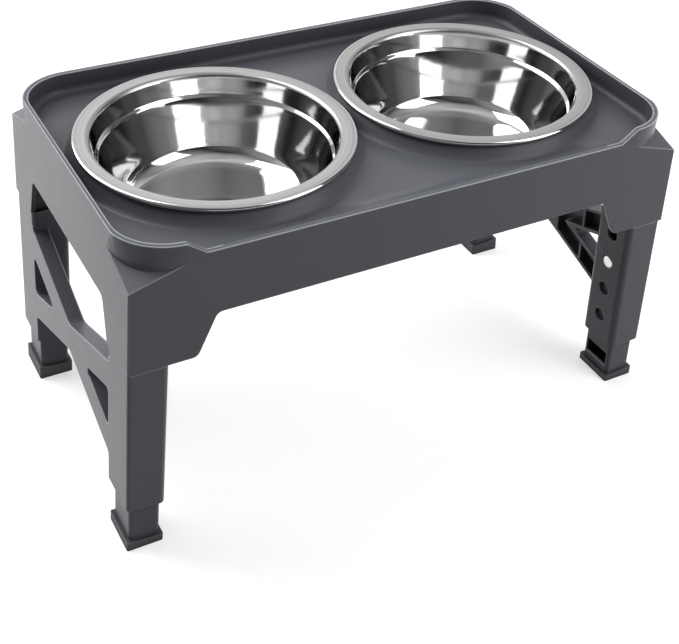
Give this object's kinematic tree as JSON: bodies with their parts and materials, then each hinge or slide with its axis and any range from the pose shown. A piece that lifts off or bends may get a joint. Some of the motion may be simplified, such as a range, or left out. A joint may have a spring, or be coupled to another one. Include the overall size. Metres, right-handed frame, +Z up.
{
  "type": "raised dog feeder stand",
  "caption": "Raised pet feeder tray with lift-out steel bowls, folding braced end frames and sliding feet locked by sprung buttons.",
  "frame": {"origin": "on the floor, under the middle of the tray, with the legs out and the feet in their second hole", "axes": "+X along the width to the viewer's right, -Y to the front with the low lip, +Z up"},
  "size_m": [0.462, 0.248, 0.254],
  "materials": {
    "plastic": "dark grey moulded plastic, satin",
    "bowl_steel": "polished stainless steel",
    "button_steel": "satin steel",
    "pin_steel": "plain steel",
    "cap_rubber": "dark grey matt rubber"
  },
  "bodies": {
    "tray": {"tray": "plastic", "hinge_pin_front_left": "pin_steel", "hinge_pin_front_right": "pin_steel", "hinge_pin_rear_left": "pin_steel", "hinge_pin_rear_right": "pin_steel"},
    "leg_left": {"leg_frame_left": "plastic"},
    "leg_right": {"leg_frame_right": "plastic"},
    "foot_front_left": {"foot_front_left": "plastic", "foot_cap_front_left": "cap_rubber", "button_spring_front_left": "pin_steel"},
    "foot_front_right": {"foot_front_right": "plastic", "foot_cap_front_right": "cap_rubber", "button_spring_front_right": "pin_steel"},
    "foot_rear_left": {"foot_rear_left": "plastic", "foot_cap_rear_left": "cap_rubber", "button_spring_rear_left": "pin_steel"},
    "foot_rear_right": {"foot_rear_right": "plastic", "foot_cap_rear_right": "cap_rubber", "button_spring_rear_right": "pin_steel"},
    "button_front_left": {"snap_button_front_left": "button_steel"},
    "button_front_right": {"snap_button_front_right": "button_steel"},
    "button_rear_left": {"snap_button_rear_left": "button_steel"},
    "button_rear_right": {"snap_button_rear_right": "button_steel"},
    "bowl_left": {"bowl_left": "bowl_steel"},
    "bowl_right": {"bowl_right": "bowl_steel"}
  },
  "joints": [
    {"name": "leg_left_fold", "type": "hinge", "parent": "tray", "child": "leg_left", "pos_m": [-0.18449, 0, 0.19704], "axis": [0, -1, 0], "range_deg": [0, 94.4]},
    {"name": "leg_right_fold", "type": "hinge", "parent": "tray", "child": "leg_right", "pos_m": [0.18449, 0, 0.19704], "axis": [0, 1, 0], "range_deg": [0, 94.4]},
    {"name": "foot_front_left_slide", "type": "slide", "parent": "leg_left", "child": "foot_front_left", "axis": [0.0767, 0, 0.9971], "range_m": [-0.056, 0.028], "deforming": ["snap_button_front_left", "button_spring_front_left"]},
    {"name": "foot_front_right_slide", "type": "slide", "parent": "leg_right", "child": "foot_front_right", "axis": [-0.0767, 0, 0.9971], "range_m": [-0.056, 0.028], "deforming": ["snap_button_front_right", "button_spring_front_right"]},
    {"name": "foot_rear_left_slide", "type": "slide", "parent": "leg_left", "child": "foot_rear_left", "axis": [0.0767, 0, 0.9971], "range_m": [-0.056, 0.028], "deforming": ["snap_button_rear_left", "button_spring_rear_left"]},
    {"name": "foot_rear_right_slide", "type": "slide", "parent": "leg_right", "child": "foot_rear_right", "axis": [-0.0767, 0, 0.9971], "range_m": [-0.056, 0.028], "deforming": ["snap_button_rear_right", "button_spring_rear_right"]},
    {"name": "button_front_left_press", "type": "slide", "parent": "foot_front_left", "child": "button_front_left", "axis": [-0.9971, 0, 0.0767], "range_m": [0, 0.004], "stiffness_N_per_m": 800, "springref_m": -0.002, "deforming": ["button_spring_front_left"]},
    {"name": "button_front_right_press", "type": "slide", "parent": "foot_front_right", "child": "button_front_right", "axis": [0.9971, 0, 0.0767], "range_m": [0, 0.004], "stiffness_N_per_m": 800, "springref_m": -0.002, "deforming": ["button_spring_front_right"]},
    {"name": "button_rear_left_press", "type": "slide", "parent": "foot_rear_left", "child": "button_rear_left", "axis": [-0.9971, 0, 0.0767], "range_m": [0, 0.004], "stiffness_N_per_m": 800, "springref_m": -0.002, "deforming": ["button_spring_rear_left"]},
    {"name": "button_rear_right_press", "type": "slide", "parent": "foot_rear_right", "child": "button_rear_right", "axis": [0.9971, 0, 0.0767], "range_m": [0, 0.004], "stiffness_N_per_m": 800, "springref_m": -0.002, "deforming": ["button_spring_rear_right"]},
    {"name": "bowl_left_lift", "type": "slide", "parent": "tray", "child": "bowl_left", "axis": [0, 0, 1], "range_m": [0, 0.12]},
    {"name": "bowl_right_lift", "type": "slide", "parent": "tray", "child": "bowl_right", "axis": [0, 0, 1], "range_m": [0, 0.12]}
  ]
}
